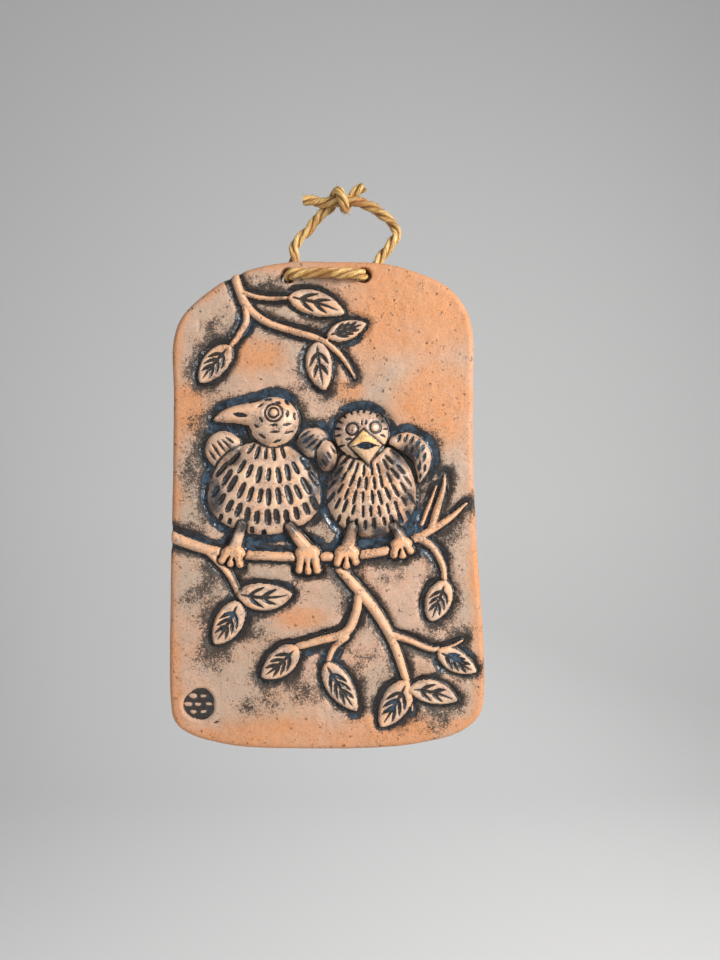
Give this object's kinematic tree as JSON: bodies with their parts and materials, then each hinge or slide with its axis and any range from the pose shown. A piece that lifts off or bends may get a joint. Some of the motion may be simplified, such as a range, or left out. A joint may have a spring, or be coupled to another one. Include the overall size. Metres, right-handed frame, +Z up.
{
  "type": "decorative wall plaque",
  "caption": "Upright terracotta wall plaque with two birds on a leafy branch in relief, a stamped roundel and a knotted hanging string through holes at the top.",
  "frame": {"origin": "the nail's place: on the wall plane, under the top of the string's loop beside the knot", "axes": "+Z up along the plaque's height, -Y out of its front, +Y into the wall, +X to the viewer's right"},
  "size_m": [0.13, 0.0206, 0.2375],
  "materials": {
    "fired_clay": "bare terracotta with a beige wash, dark oxide rubbed into the lines and pools of blue glaze",
    "golden_string": "twisted golden jute with a soft sheen"
  },
  "bodies": {
    "root": {"plaque": "fired_clay", "hanging_cord": "golden_string"}
  },
  "joints": []
}
